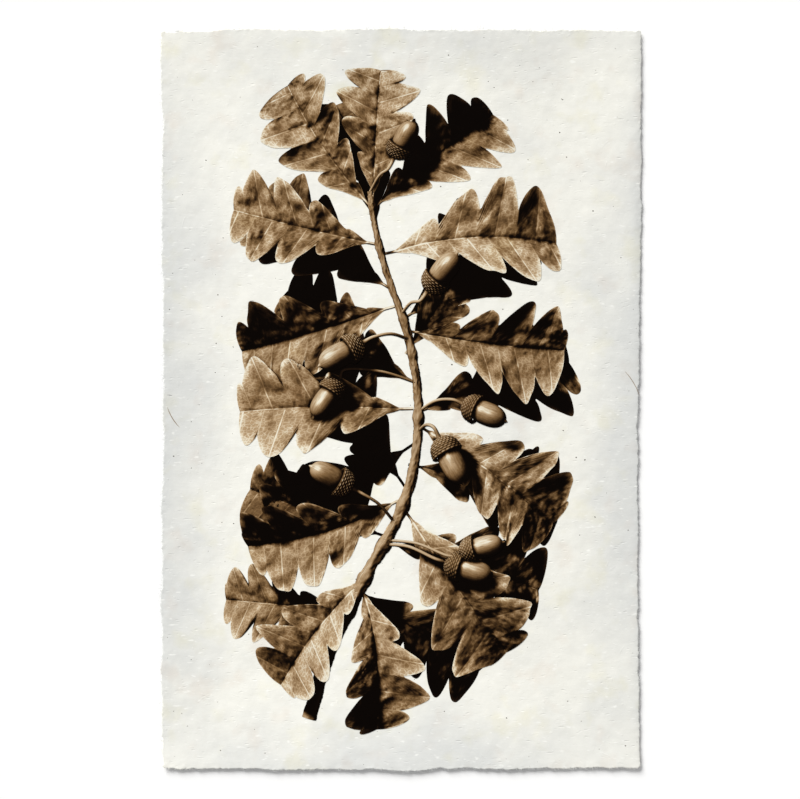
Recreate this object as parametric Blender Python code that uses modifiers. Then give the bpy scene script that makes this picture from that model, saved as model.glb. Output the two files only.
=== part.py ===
"""A large sheet of handmade paper with a deckle edge, the carrier of an art print.

It lies face up and cockled, as handmade paper does when it has dried unevenly: it touches the table at
three low points, its flat middle hangs just above the table, and its four edges rise a little. The
picture's head is towards +Y. The origin is on the table, under the sheet's centre.
"""

import math

import bmesh
import bpy
import numpy as np

# Driving dimensions, in metres. The width and the length are over the deckle's widest points.
SHEET_WIDTH = 0.659
SHEET_LENGTH = 1.016
PAPER_THICKNESS = 0.0006
DECKLE_THICKNESS = 0.0003
DECKLE_DEPTH = 0.012
CORNER_RADIUS = 0.004
CORNER_POINTS = 4

# How far each side bows out at even steps along it, towards +Y or +X, in metres
BOW_LEFT = (-0.0001, 0.0002, 0.0008, 0.0002, -0.0015, -0.0022, -0.0006, 0.0005, -0.0004, 0.0025)
BOW_RIGHT = (0.0006, -0.0005, -0.0022, -0.0016, -0.0025, -0.0003, 0.0014, 0.0031, 0.0021, 0.0029)
BOW_TOP = (-0.0027, 0.0006, 0.0008, 0.0008, -0.0001, -0.0001, -0.0011)
BOW_BOTTOM = (-0.0016, -0.0001, 0.0008, 0.0012, -0.0004, -0.0010, -0.0019)

# The deckle: waves round the outline, each weaker than the one before
DECKLE_SEED = 26
DECKLE_FIRST_WAVE = 16
DECKLE_LAST_WAVE = 240
DECKLE_SWING = 0.0024
DECKLE_FADE = 0.85
OUTLINE_STEP = 0.0055

# The rise of each edge above the table: (mean, swing, wavelength, phase), in metres and radians
LIFT_REACH = 0.150
LIFT_LEFT = (0.0020, 0.0008, 0.52, 0.6)
LIFT_RIGHT = (0.0035, 0.0005, 0.40, 1.1)
LIFT_TOP = (0.0018, 0.0006, 0.39, 1.0)
LIFT_BOTTOM = (0.0042, 0.0003, 0.16, 1.6)
LIFT_POWER = 4

# The right edge turns down again over its last few millimetres
DROOP = 0.0012
DROOP_REACH = 0.009

# The three low cockles, at two corners and one side of the flat middle, and how far they hang below it
COCKLE_DROP = 0.0006
COCKLE_RADIUS = 0.040
COCKLE_PLACES = ((-1, -1), (1, -1), (0, 1))

# The blank that the outline is cut from: its grid lines, as distances inside the nominal edge
BLANK_MARGIN = 0.010
EDGE_LINES = (-BLANK_MARGIN, 0.0, 0.003, DROOP_REACH, DECKLE_DEPTH, 0.026, 0.046, 0.072, 0.106, LIFT_REACH)
MIDDLE_SPACING = 0.045
CUTTER_DEPTH = 0.060
MERGE_DISTANCE = 0.00001

PAPER_COLOUR = (0.83, 0.825, 0.775, 1.0)
PAPER_ROUGHNESS = 0.88

HALF_WIDTH = SHEET_WIDTH / 2
HALF_LENGTH = SHEET_LENGTH / 2


def clear_scene():
    for old in list(bpy.data.objects):
        bpy.data.objects.remove(old)


def new_collection(name):
    collection = bpy.data.collections.new(name)
    bpy.context.scene.collection.children.link(collection)
    return collection


def move_to(collection, piece):
    for old in list(piece.users_collection):
        old.objects.unlink(piece)
    collection.objects.link(piece)


def paper_material():
    material = bpy.data.materials.new("handmade_paper")
    material.use_nodes = True
    shader = material.node_tree.nodes["Principled BSDF"]
    shader.inputs["Base Color"].default_value = PAPER_COLOUR
    shader.inputs["Roughness"].default_value = PAPER_ROUGHNESS
    shader.inputs["Metallic"].default_value = 0.0
    return material


def rounded_rectangle():
    """Points about OUTLINE_STEP apart round the nominal outline, anticlockwise, with the outward
    direction at each, and how far along the outline each one is as a share of a full turn."""
    corners = [
        (HALF_WIDTH - CORNER_RADIUS, HALF_LENGTH - CORNER_RADIUS, 0.0),
        (-HALF_WIDTH + CORNER_RADIUS, HALF_LENGTH - CORNER_RADIUS, 0.5 * math.pi),
        (-HALF_WIDTH + CORNER_RADIUS, -HALF_LENGTH + CORNER_RADIUS, math.pi),
        (HALF_WIDTH - CORNER_RADIUS, -HALF_LENGTH + CORNER_RADIUS, 1.5 * math.pi),
    ]
    arc = np.linspace(0, 0.5 * math.pi, CORNER_POINTS)
    turns = np.concatenate([start + arc for _, _, start in corners])
    centres = np.repeat([(x, y) for x, y, _ in corners], len(arc), axis=0)
    bends = centres + CORNER_RADIUS * np.column_stack([np.cos(turns), np.sin(turns)])
    bends = np.vstack([bends, bends[:1]])
    turns = np.append(turns, 2 * math.pi)
    lengths = np.append(0, np.cumsum(np.linalg.norm(np.diff(bends, axis=0), axis=1)))
    count = round(lengths[-1] / OUTLINE_STEP)
    along = np.linspace(0, lengths[-1], count, endpoint=False)
    points = np.column_stack([np.interp(along, lengths, bends[:, axis]) for axis in (0, 1)])
    facing = np.interp(along, lengths, turns)
    outward = np.column_stack([np.cos(facing), np.sin(facing)])
    return points, outward, along / lengths[-1]


def side_bow(points, outward):
    """How far the sheet's slow shape stands out at each point: the bows of the sides that it faces."""
    x, y = points.T
    across, along = outward.T
    sides = (
        (-across, y, HALF_LENGTH, BOW_LEFT),
        (across, y, HALF_LENGTH, BOW_RIGHT),
        (-along, x, HALF_WIDTH, BOW_BOTTOM),
        (along, x, HALF_WIDTH, BOW_TOP),
    )
    return sum(
        np.maximum(0, facing) * np.interp(place, np.linspace(-half, half, len(bows)), bows)
        for facing, place, half, bows in sides
    )


def deckle_offset(share):
    """How far the deckle stands out at a share of the way round: a sum of cosines, whose swing falls
    with the wave's number, so that lazy waves carry ever finer nicks."""
    waves = np.arange(DECKLE_FIRST_WAVE, DECKLE_LAST_WAVE)
    phases = np.random.default_rng(DECKLE_SEED).uniform(0, 2 * math.pi, len(waves))
    swings = DECKLE_SWING * waves**-DECKLE_FADE
    return (swings * np.cos(2 * math.pi * np.outer(share, waves) + phases)).sum(axis=1)


def deckle_outline():
    """The sheet's outline, stretched so that it just fills the sheet's width and length."""
    points, outward, share = rounded_rectangle()
    points = points + outward * (side_bow(points, outward) + deckle_offset(share))[:, None]
    low, high = points.min(axis=0), points.max(axis=0)
    return (points - (low + high) / 2) * (SHEET_WIDTH, SHEET_LENGTH) / (high - low)


def edge_lift(inside, along, lift):
    """How far one edge's rise lifts the paper, at a distance inside that edge and a place along it.
    It is nothing from LIFT_REACH inwards, and grows with the square of the distance from there."""
    mean, swing, wavelength, phase = lift
    height = mean + swing * math.sin(2 * math.pi * along / wavelength + phase)
    return height * max(0.0, 1 - inside / LIFT_REACH) ** 2


def cockle_share(x, y):
    """1 at the low point of each cockle, falling smoothly to 0 at COCKLE_RADIUS from it."""
    middle = (HALF_WIDTH - LIFT_REACH, HALF_LENGTH - LIFT_REACH)
    nearest = min(math.hypot(x - side * middle[0], y - end * middle[1]) for side, end in COCKLE_PLACES)
    return max(0.0, 1 - (nearest / COCKLE_RADIUS) ** 2) ** 2


def underside(x, y):
    """The height of the paper's underside over the table. Where two edges' rises meet, a root of their
    summed powers joins them, so that a corner stands little higher than the higher edge."""
    rises = (
        edge_lift(HALF_WIDTH + x, y, LIFT_LEFT),
        edge_lift(HALF_WIDTH - x, y, LIFT_RIGHT),
        edge_lift(HALF_LENGTH - y, x, LIFT_TOP),
        edge_lift(HALF_LENGTH + y, x, LIFT_BOTTOM),
    )
    joined = sum(rise**LIFT_POWER for rise in rises) ** (1 / LIFT_POWER)
    turned_down = DROOP * min(1.0, max(0.0, 1 - (HALF_WIDTH - x) / DROOP_REACH)) ** 2
    return COCKLE_DROP * (1 - cockle_share(x, y)) + joined - turned_down


def thickness_share(x, y):
    """1 on the body of the sheet, falling to the deckle's share at the rim."""
    inside = min(HALF_WIDTH - abs(x), HALF_LENGTH - abs(y))
    thinned = DECKLE_THICKNESS / PAPER_THICKNESS
    return thinned + (1 - thinned) * min(1.0, max(0.0, inside / DECKLE_DEPTH))


def grid_lines(half):
    """Coordinates of the blank's grid lines over one side: close near the edges, wide in the middle."""
    near = half - np.array(EDGE_LINES)
    span = 2 * near[-1]
    middle = np.linspace(-near[-1], near[-1], round(span / MIDDLE_SPACING) + 1)[1:-1]
    return np.concatenate([-near, middle, near[::-1]])


def make_blank(collection):
    """The sheet before its deckle: a grid with its lines moved, curved up at the edges, and thickened."""
    across, down = grid_lines(HALF_WIDTH), grid_lines(HALF_LENGTH)
    columns, rows = len(across) - 1, len(down) - 1
    bpy.ops.mesh.primitive_grid_add(x_subdivisions=columns, y_subdivisions=rows, size=2)
    sheet = bpy.context.object
    sheet.name = sheet.data.name = "paper_sheet"
    thickness = sheet.vertex_groups.new(name="thickness")
    for vertex in sheet.data.vertices:
        x = across[round((vertex.co.x + 1) / 2 * columns)]
        y = down[round((vertex.co.y + 1) / 2 * rows)]
        vertex.co = (x, y, underside(x, y))
        thickness.add([vertex.index], thickness_share(x, y), "REPLACE")
    shell = sheet.modifiers.new("thickness", "SOLIDIFY")
    shell.thickness = PAPER_THICKNESS
    shell.offset = 1
    shell.vertex_group = thickness.name
    sheet.data.materials.append(paper_material())
    move_to(collection, sheet)
    return sheet


def make_outline_cutter(collection):
    """A closed block with the deckle's outline, tall enough to pass the whole sheet."""
    curve = bpy.data.curves.new("deckle_outline", "CURVE")
    curve.dimensions = "2D"
    curve.fill_mode = "BOTH"
    curve.extrude = CUTTER_DEPTH / 2
    outline = deckle_outline()
    spline = curve.splines.new("POLY")
    spline.points.add(len(outline) - 1)
    flat = np.column_stack([outline, np.zeros(len(outline)), np.ones(len(outline))])
    spline.points.foreach_set("co", flat.ravel())
    spline.use_cyclic_u = True
    guide = bpy.data.objects.new("deckle_outline", curve)
    collection.objects.link(guide)
    bpy.context.view_layer.update()
    evaluated = guide.evaluated_get(bpy.context.evaluated_depsgraph_get())
    mesh = bpy.data.meshes.new_from_object(evaluated)
    block = bmesh.new()
    block.from_mesh(mesh)
    bmesh.ops.remove_doubles(block, verts=block.verts, dist=MERGE_DISTANCE)
    bmesh.ops.recalc_face_normals(block, faces=block.faces)
    block.to_mesh(mesh)
    block.free()
    cutter = bpy.data.objects.new("deckle_cutter", mesh)
    cutter.matrix_world = guide.matrix_world
    cutter.hide_render = True
    cutter.display_type = "WIRE"
    collection.objects.link(cutter)
    bpy.data.objects.remove(guide)
    return cutter


def main():
    clear_scene()
    parts = new_collection("deckle_edged_paper_print")
    cutters = new_collection("cutters")
    sheet = make_blank(parts)
    trim = sheet.modifiers.new("deckle", "BOOLEAN")
    trim.operation = "INTERSECT"
    trim.object = make_outline_cutter(cutters)


main()
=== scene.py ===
# %% [markdown]
# This is a large art print: a sheet of handmade paper with ragged, feathered edges, printed in sepia ink,
# lying face up on a white table and seen from straight above.
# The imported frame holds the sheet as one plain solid. This lesson dresses it: first the camera and the
# light, then the paper with its felt, fibres and bark flecks, and last the picture that is printed on it.
# Everything is in metres, with the sheet's face towards +Z and the picture's head towards +Y.

# %% Load the frame and measure the sheet
import math

import bpy
import numpy as np
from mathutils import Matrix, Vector
from mathutils.geometry import delaunay_2d_cdt


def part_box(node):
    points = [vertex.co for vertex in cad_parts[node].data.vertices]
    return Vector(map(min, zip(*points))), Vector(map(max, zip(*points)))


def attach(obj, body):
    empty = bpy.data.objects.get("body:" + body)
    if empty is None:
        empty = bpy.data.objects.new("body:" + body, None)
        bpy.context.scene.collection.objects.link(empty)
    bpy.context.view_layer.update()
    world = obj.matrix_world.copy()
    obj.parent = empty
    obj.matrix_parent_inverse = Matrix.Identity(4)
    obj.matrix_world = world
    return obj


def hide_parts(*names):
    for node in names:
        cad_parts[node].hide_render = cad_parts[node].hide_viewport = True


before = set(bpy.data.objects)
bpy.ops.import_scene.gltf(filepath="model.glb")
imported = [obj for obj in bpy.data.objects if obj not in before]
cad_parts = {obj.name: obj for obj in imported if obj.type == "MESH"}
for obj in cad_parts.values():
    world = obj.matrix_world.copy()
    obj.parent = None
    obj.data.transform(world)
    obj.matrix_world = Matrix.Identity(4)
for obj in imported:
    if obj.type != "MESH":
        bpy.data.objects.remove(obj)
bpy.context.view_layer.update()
sheet_low, sheet_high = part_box("paper_sheet")
WIDTH = sheet_high.x - sheet_low.x
LENGTH = sheet_high.y - sheet_low.y
HALF = np.array([WIDTH, LENGTH]) / 2
MM = 0.001
print(f"sheet {WIDTH / MM:.1f} x {LENGTH / MM:.1f} mm, up to {sheet_high.z / MM:.1f} mm high")

# %% [markdown]
# The camera looks straight down, as a copy stand's does. A long lens keeps the sheet's sides parallel.
# Its height follows from the real length of the sheet and the length that it has in the photograph.

# %% Camera
PHOTO_SIZE = (800, 799)
SHEET_PIXELS = 742.2
SHEET_CENTRE_PIXEL = (401.15, 399.59)
LENS = 85.0
SENSOR = 36.0

pixel = LENGTH / SHEET_PIXELS
camera_height = PHOTO_SIZE[0] * pixel * LENS / SENSOR
camera_data = bpy.data.cameras.new("copy_camera")
camera_data.lens = LENS
camera_data.sensor_width = SENSOR
camera = bpy.data.objects.new("copy_camera", camera_data)
camera.location = (
    (PHOTO_SIZE[0] / 2 - SHEET_CENTRE_PIXEL[0]) * pixel,
    (SHEET_CENTRE_PIXEL[1] - PHOTO_SIZE[1] / 2) * pixel,
    camera_height,
)
bpy.context.scene.collection.objects.link(camera)
bpy.context.scene.camera = camera
print(f"camera {camera_height:.3f} m up, {pixel / MM:.3f} mm to a pixel")

# %% [markdown]
# Two soft lights are enough. A wide key from the upper left, low over the table, rakes over the paper and
# lays the narrow shadow under its right and bottom edges. An even white surround fills the rest.
# The key could be an area lamp, but a sun with a wide angle lights the whole sheet alike, as a big softbox
# far away does. The standard view transform keeps the table white and the ink as dark as it is.

# %% Light
KEY_ELEVATION = math.radians(29)
KEY_AZIMUTH = math.radians(121)
KEY_ANGLE = math.radians(30)
KEY_SHARE = 0.66
FILL = 0.40
KEY_COLOUR = (1.0, 0.995, 0.98)

bpy.context.scene.view_settings.view_transform = "Standard"
towards_key = Vector((
    math.cos(KEY_ELEVATION) * math.cos(KEY_AZIMUTH),
    math.cos(KEY_ELEVATION) * math.sin(KEY_AZIMUTH),
    math.sin(KEY_ELEVATION),
))
key_data = bpy.data.lights.new("key", "SUN")
key_data.energy = KEY_SHARE * math.pi / towards_key.z
key_data.angle = KEY_ANGLE
key_data.color = KEY_COLOUR
key = bpy.data.objects.new("key", key_data)
key.rotation_euler = towards_key.to_track_quat("Z", "Y").to_euler()
bpy.context.scene.collection.objects.link(key)

world = bpy.data.worlds.new("white_surround")
world.use_nodes = True
surround = world.node_tree.nodes["Background"]
surround.inputs["Color"].default_value = (1.0, 1.0, 1.0, 1.0)
surround.inputs["Strength"].default_value = FILL
bpy.context.scene.world = world
print(f"key {KEY_SHARE:.2f} and fill {FILL:.2f} of white on the table")

# %% [markdown]
# A few small helpers save repetition. One makes a mesh piece from whole arrays of points and faces, and
# one hangs a named number on each point for a material to read. The others add shader nodes and join their
# inputs in one line, so that a material reads like a recipe.

# %% Helpers for meshes and materials
def make_piece(name, points, faces, material):
    """A smooth mesh object from points (n, 3) in metres and faces (m, 3 or 4) of point numbers."""
    mesh = bpy.data.meshes.new(name)
    mesh.from_pydata(points.tolist(), [], faces.tolist())
    mesh.polygons.foreach_set("use_smooth", np.ones(len(mesh.polygons), bool))
    mesh.materials.append(material)
    mesh.update()
    piece = bpy.data.objects.new(name, mesh)
    bpy.context.scene.collection.objects.link(piece)
    print(f"{name}: {len(points)} points, {len(faces)} faces")
    return piece


def set_attribute(piece, name, values):
    """A number, or a vector of three, for each point of the piece."""
    kind, field = ("FLOAT_VECTOR", "vector") if values.ndim == 2 else ("FLOAT", "value")
    attribute = piece.data.attributes.new(name, kind, "POINT")
    attribute.data.foreach_set(field, values.astype(np.float32).ravel())


def as_points(x, y, z):
    """Three arrays, spread to one shape, side by side in a last axis of three."""
    return np.stack(np.broadcast_arrays(x, y, z), axis=-1)


def many_grids(points):
    """Points and quads of n alike grids at once, from an array of n x rows x columns x 3."""
    number = np.arange(points[..., 0].size).reshape(points.shape[:3])
    corners = [number[:, :-1, :-1], number[:, :-1, 1:], number[:, 1:, 1:], number[:, 1:, :-1]]
    return points.reshape(-1, 3), np.stack(corners, axis=-1).reshape(-1, 4)


def new_material(name, roughness):
    material = bpy.data.materials.new(name)
    material.use_nodes = True
    shader = material.node_tree.nodes["Principled BSDF"]
    shader.inputs["Roughness"].default_value = roughness
    return material, material.node_tree, shader


def add(tree, kind, inputs=None, out=0, **settings):
    """Adds a node, sets its options and inputs (a number, a colour or another node's socket), and
    returns its output socket."""
    node = tree.nodes.new("ShaderNode" + kind)
    for name, value in settings.items():
        setattr(node, name, value)
    for slot, value in (inputs or {}).items():
        if isinstance(value, bpy.types.NodeSocket):
            tree.links.new(value, node.inputs[slot])
        else:
            node.inputs[slot].default_value = value
    return node.outputs[out]


def maths(tree, operation, first, second=0.0, clamp=False):
    return add(tree, "Math", {0: first, 1: second}, operation=operation, use_clamp=clamp)


def plus(tree, first, second, clamp=False):
    return maths(tree, "ADD", first, second, clamp)


def minus(tree, first, second, clamp=False):
    return maths(tree, "SUBTRACT", first, second, clamp)


def times(tree, first, second, clamp=False):
    return maths(tree, "MULTIPLY", first, second, clamp)


def over(tree, first, second, clamp=False):
    return maths(tree, "DIVIDE", first, second, clamp)


def split(tree, vector):
    """A vector's x, y and z, as three sockets."""
    return add(tree, "SeparateXYZ", {0: vector}).node.outputs


def mix_colour(tree, share, first, second, blend="MIX"):
    return add(tree, "Mix", {0: share, 6: first, 7: second}, out=2, data_type="RGBA", blend_type=blend)


def noise(tree, place, scale, detail=2.0, roughness=0.5):
    return add(tree, "TexNoise", {"Vector": place, "Scale": scale, "Detail": detail, "Roughness": roughness})


def sepia(red, green, blue):
    """A screen colour of 0 to 255 as the linear colour that a shader takes."""
    screen = np.array([red, green, blue]) / 255
    linear = np.where(screen > 0.04045, ((screen + 0.055) / 1.055) ** 2.4, screen / 12.92)
    return (*linear.tolist(), 1.0)


# %% [markdown]
# The table is only a backdrop, a plain white board a little larger than anything the camera sees. It lies
# just under the sheet's lowest points.

# %% Table
TABLE_SIDE = 12.0
TABLE_GAP = 0.1 * MM

table_paint, _, table_shader = new_material("white_table", 0.9)
table_shader.inputs["Base Color"].default_value = (0.96, 0.96, 0.96, 1.0)
table_corners = np.array([(-1, -1), (1, -1), (1, 1), (-1, 1)]) * TABLE_SIDE / 2
table_points = np.column_stack([table_corners, np.full(4, -TABLE_GAP)])
table = make_piece("white_table", table_points, np.array([[0, 1, 2, 3]]), table_paint)

# %% [markdown]
# A deckle edge is the feathered rim that wet pulp leaves where it seeps under the mould's frame. It could
# be a straight cut with a noise texture, but its outline shows against the white table and throws the
# shadow, so it is real geometry. The outline is a rectangle with small round corners. Each side first bows
# in and out by a few millimetres, and then a sum of cosines nicks it: slow waves swing most, and each faster
# wave swings less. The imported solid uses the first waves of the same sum, so the fine outline here follows
# it and only adds the nicks that it is too coarse to hold.

# %% Deckle outline
CORNER_RADIUS = 4 * MM
# How far each side bows out at even steps along it, towards +Y or +X
BOWS = {
    "left": np.array([-0.1, 0.2, 0.8, 0.2, -1.5, -2.2, -0.6, 0.5, -0.4, 2.5]) * MM,
    "right": np.array([0.6, -0.5, -2.2, -1.6, -2.5, -0.3, 1.4, 3.1, 2.1, 2.9]) * MM,
    "top": np.array([-2.7, 0.6, 0.8, 0.8, -0.1, -0.1, -1.1]) * MM,
    "bottom": np.array([-1.6, -0.1, 0.8, 1.2, -0.4, -1.0, -1.9]) * MM,
}
DECKLE_SEED = 26
DECKLE_FIRST_WAVE = 16
DECKLE_PACKED_WAVES = 240
DECKLE_FINE_WAVES = 1100
DECKLE_SWING = 2.4 * MM
DECKLE_FADE = 0.85
PACKED_STEP = 5.5 * MM
FINE_STEP = 1.2 * MM


def rounded_rectangle(step):
    """Points about a step apart round the sheet's nominal outline, anticlockwise, with the outward
    direction at each, and how far round each one is as a share of a full turn."""
    sides = HALF - CORNER_RADIUS
    centres = np.array([(1, 1), (-1, 1), (-1, -1), (1, -1)]) * sides
    turns = (np.arange(4)[:, None] * 0.5 * math.pi + np.linspace(0, 0.5 * math.pi, 4)).ravel()
    bends = np.repeat(centres, 4, axis=0) + CORNER_RADIUS * np.column_stack([np.cos(turns), np.sin(turns)])
    bends = np.vstack([bends, bends[:1]])
    turns = np.append(turns, 2 * math.pi)
    lengths = np.append(0, np.cumsum(np.linalg.norm(np.diff(bends, axis=0), axis=1)))
    along = np.linspace(0, lengths[-1], round(lengths[-1] / step), endpoint=False)
    points = np.column_stack([np.interp(along, lengths, bends[:, axis]) for axis in (0, 1)])
    facing = np.interp(along, lengths, turns)
    return points, np.column_stack([np.cos(facing), np.sin(facing)]), along / lengths[-1]


def side_bow(points, outward):
    """How far the slow shape stands out at each point: the bows of the sides that it faces."""
    sides = (
        (-outward[:, 0], points[:, 1], HALF[1], BOWS["left"]),
        (outward[:, 0], points[:, 1], HALF[1], BOWS["right"]),
        (-outward[:, 1], points[:, 0], HALF[0], BOWS["bottom"]),
        (outward[:, 1], points[:, 0], HALF[0], BOWS["top"]),
    )
    return sum(
        np.maximum(0, facing) * np.interp(place, np.linspace(-half, half, len(bows)), bows)
        for facing, place, half, bows in sides
    )


def deckle_offset(share, last_wave):
    """A sum of cosines round the outline, whose swing falls as a power of the wave's number."""
    waves = np.arange(DECKLE_FIRST_WAVE, last_wave)
    phases = np.random.default_rng(DECKLE_SEED).uniform(0, 2 * math.pi, len(waves))
    swings = DECKLE_SWING * waves**-DECKLE_FADE
    return (swings * np.cos(2 * math.pi * np.outer(share, waves) + phases)).sum(axis=1)


def deckle_outline(step, last_wave):
    points, outward, share = rounded_rectangle(step)
    stands_out = side_bow(points, outward) + deckle_offset(share, last_wave)
    return points + outward * stands_out[:, None], outward


packed_outline, _ = deckle_outline(PACKED_STEP, DECKLE_PACKED_WAVES)
outline_low, outline_high = packed_outline.min(axis=0), packed_outline.max(axis=0)
outline_stretch = 2 * HALF / (outline_high - outline_low)
outline, outline_outward = deckle_outline(FINE_STEP, DECKLE_FINE_WAVES)
outline = (outline - (outline_low + outline_high) / 2) * outline_stretch
print(f"outline of {len(outline)} points, {np.ptp(outline, axis=0) / MM} mm")

# %% [markdown]
# The paper's two faces are functions of x and y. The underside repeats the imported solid: flat in the
# middle, resting on three low cockles, with its edges rising and the right one turning down at its rim.
# The face adds the thickness, which thins to a feather at the rim, the soft lumps that the felt leaves and
# the small clumps of pulp that gather at the deckle. Lumps and clumps are random numbers on a grid with all
# but a band of wavelengths removed, which is quick with a Fourier transform and repeats exactly.

# %% Height of the paper
PAPER_THICKNESS = 0.6 * MM
DECKLE_THICKNESS = 0.3 * MM
RIM_THICKNESS = 0.12 * MM
DECKLE_DEPTH = 12 * MM
LIFT_REACH = 150 * MM
LIFT_POWER = 4
EDGE_LIFTS = {
    "left": (2.0 * MM, 0.8 * MM, 0.52, 0.6),
    "right": (3.5 * MM, 0.5 * MM, 0.40, 1.1),
    "top": (1.8 * MM, 0.6 * MM, 0.39, 1.0),
    "bottom": (4.2 * MM, 0.3 * MM, 0.16, 1.6),
}
DROOP = 1.2 * MM
DROOP_REACH = 9 * MM
COCKLE_DROP = 0.6 * MM
COCKLE_RADIUS = 40 * MM
COCKLE_PLACES = ((-1, -1), (1, -1), (0, 1))
CLOUD_CELL = 1.0 * MM
CLOUD_SIZE = (1152, 768)


def cloud(seed, longest, shortest):
    """Smooth random relief with a spread of 1: white noise on a grid, of which only the waves between
    the longest and the shortest are kept."""
    waves = np.fft.rfft2(np.random.default_rng(seed).normal(size=CLOUD_SIZE))
    down = np.fft.fftfreq(CLOUD_SIZE[0], CLOUD_CELL)[:, None]
    across = np.fft.rfftfreq(CLOUD_SIZE[1], CLOUD_CELL)[None, :]
    frequency = np.hypot(down, across)
    band = np.exp(-((frequency * shortest) ** 2)) * (1 - np.exp(-((frequency * longest) ** 2)))
    field = np.fft.irfft2(waves * band, CLOUD_SIZE)
    return field / field.std()


def sample(field, x, y):
    """The field at x and y in metres, by straight interpolation between its four nearest cells."""
    row = np.clip(y / CLOUD_CELL + CLOUD_SIZE[0] / 2, 0, CLOUD_SIZE[0] - 1.001)
    column = np.clip(x / CLOUD_CELL + CLOUD_SIZE[1] / 2, 0, CLOUD_SIZE[1] - 1.001)
    top, left = row.astype(int), column.astype(int)
    down, right = row - top, column - left
    upper = field[top, left] * (1 - right) + field[top, left + 1] * right
    lower = field[top + 1, left] * (1 - right) + field[top + 1, left + 1] * right
    return upper * (1 - down) + lower * down


def edge_lift(inside, along, lift):
    """One edge's rise: a slow wave along the edge, falling with the square of the distance inside it."""
    mean, swing, wavelength, phase = lift
    height = mean + swing * np.sin(2 * math.pi * along / wavelength + phase)
    return height * np.maximum(0, 1 - inside / LIFT_REACH) ** 2


def cockle_share(x, y):
    """1 at each of the three low points, falling smoothly to 0 at COCKLE_RADIUS."""
    middle = HALF - LIFT_REACH
    places = np.array(COCKLE_PLACES) * middle
    nearest = np.min([np.hypot(x - place[0], y - place[1]) for place in places], axis=0)
    return np.maximum(0, 1 - (nearest / COCKLE_RADIUS) ** 2) ** 2


def underside(x, y):
    """Each edge's rise, joined where two meet by a root of their summed powers, less the right edge's
    turning down and the cockles."""
    rises = np.stack([
        edge_lift(HALF[0] + x, y, EDGE_LIFTS["left"]),
        edge_lift(HALF[0] - x, y, EDGE_LIFTS["right"]),
        edge_lift(HALF[1] - y, x, EDGE_LIFTS["top"]),
        edge_lift(HALF[1] + y, x, EDGE_LIFTS["bottom"]),
    ])
    joined = (rises**LIFT_POWER).sum(axis=0) ** (1 / LIFT_POWER)
    turned_down = DROOP * np.clip(1 - (HALF[0] - x) / DROOP_REACH, 0, 1) ** 2
    return COCKLE_DROP * (1 - cockle_share(x, y)) + joined - turned_down


wide_lumps = cloud(seed=3, longest=90 * MM, shortest=26 * MM)
felt_lumps = cloud(seed=4, longest=24 * MM, shortest=8 * MM)
back_lumps = cloud(seed=5, longest=40 * MM, shortest=12 * MM)
rim_clumps = cloud(seed=6, longest=14 * MM, shortest=4 * MM)
WIDE_LUMP_HEIGHT = 0.10 * MM
FELT_LUMP_HEIGHT = 0.035 * MM
BACK_LUMP_HEIGHT = 0.03 * MM
RIM_CLUMP_HEIGHT = 0.22 * MM
RIM_CLUMP_REACH = 14 * MM


def paper_top(x, y):
    """The printed face: the underside, plus the body's thickness, plus two sizes of soft lump, plus the
    clumps of pulp that gather at the deckle."""
    inside = np.minimum(HALF[0] - np.abs(x), HALF[1] - np.abs(y))
    body = np.clip(inside / DECKLE_DEPTH, 0, 1)
    thickness = DECKLE_THICKNESS + (PAPER_THICKNESS - DECKLE_THICKNESS) * body
    lumps = WIDE_LUMP_HEIGHT * sample(wide_lumps, x, y) + FELT_LUMP_HEIGHT * sample(felt_lumps, x, y)
    clumps = RIM_CLUMP_HEIGHT * np.clip(1 - inside / RIM_CLUMP_REACH, 0, 1) * sample(rim_clumps, x, y)
    return underside(x, y) + thickness + lumps + np.maximum(clumps, -0.1 * MM)


def paper_bottom(x, y):
    touching = cockle_share(x, y)
    lumps = WIDE_LUMP_HEIGHT * sample(wide_lumps, x, y) + BACK_LUMP_HEIGHT * sample(back_lumps, x, y)
    return underside(x, y) + lumps * (1 - touching)


print(f"face lumps of {WIDE_LUMP_HEIGHT / MM:.2f} and {FELT_LUMP_HEIGHT / MM:.3f} mm")

# %% [markdown]
# The sheet's mesh has to be fine at the rim and may be coarser inside. A plain grid can't be both, so the
# points are laid first, the outline, three rings inside it and an even triangular grid within, and Blender's
# Delaunay triangulation joins them. The face and the back share the outline, and a strip of quads closes
# the rim between them.

# %% Triangulate the two faces
FACE_SPACING = 3.4 * MM
BACK_SPACING = 7.0 * MM
RING_DEPTHS = (0.8 * MM, 2.0 * MM, 3.8 * MM)
RING_STRIDES = (1, 2, 3)


def triangle_grid(spacing):
    """Points of an even triangular grid over the sheet, each odd row moved along by half a step."""
    rows = np.arange(-HALF[1], HALF[1], spacing * math.sqrt(3) / 2)
    columns = np.arange(-HALF[0], HALF[0], spacing)
    x, y = np.meshgrid(columns, rows)
    x = x + np.where(np.arange(len(rows)) % 2, spacing / 2, 0)[:, None]
    return np.column_stack([x.ravel(), y.ravel()])


def keep_inside(points, ring, outward, gap):
    """The points that lie at least a gap inside the ring, judged at the ring's nearest point."""
    border = np.any(np.abs(points) > HALF - 14 * MM, axis=1)
    near = points[border]
    nearest = np.argmin(((near[:, None] - ring[None]) ** 2).sum(axis=2), axis=1)
    depth = ((ring[nearest] - near) * outward[nearest]).sum(axis=1)
    return np.vstack([points[~border], near[depth > gap]])


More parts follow.
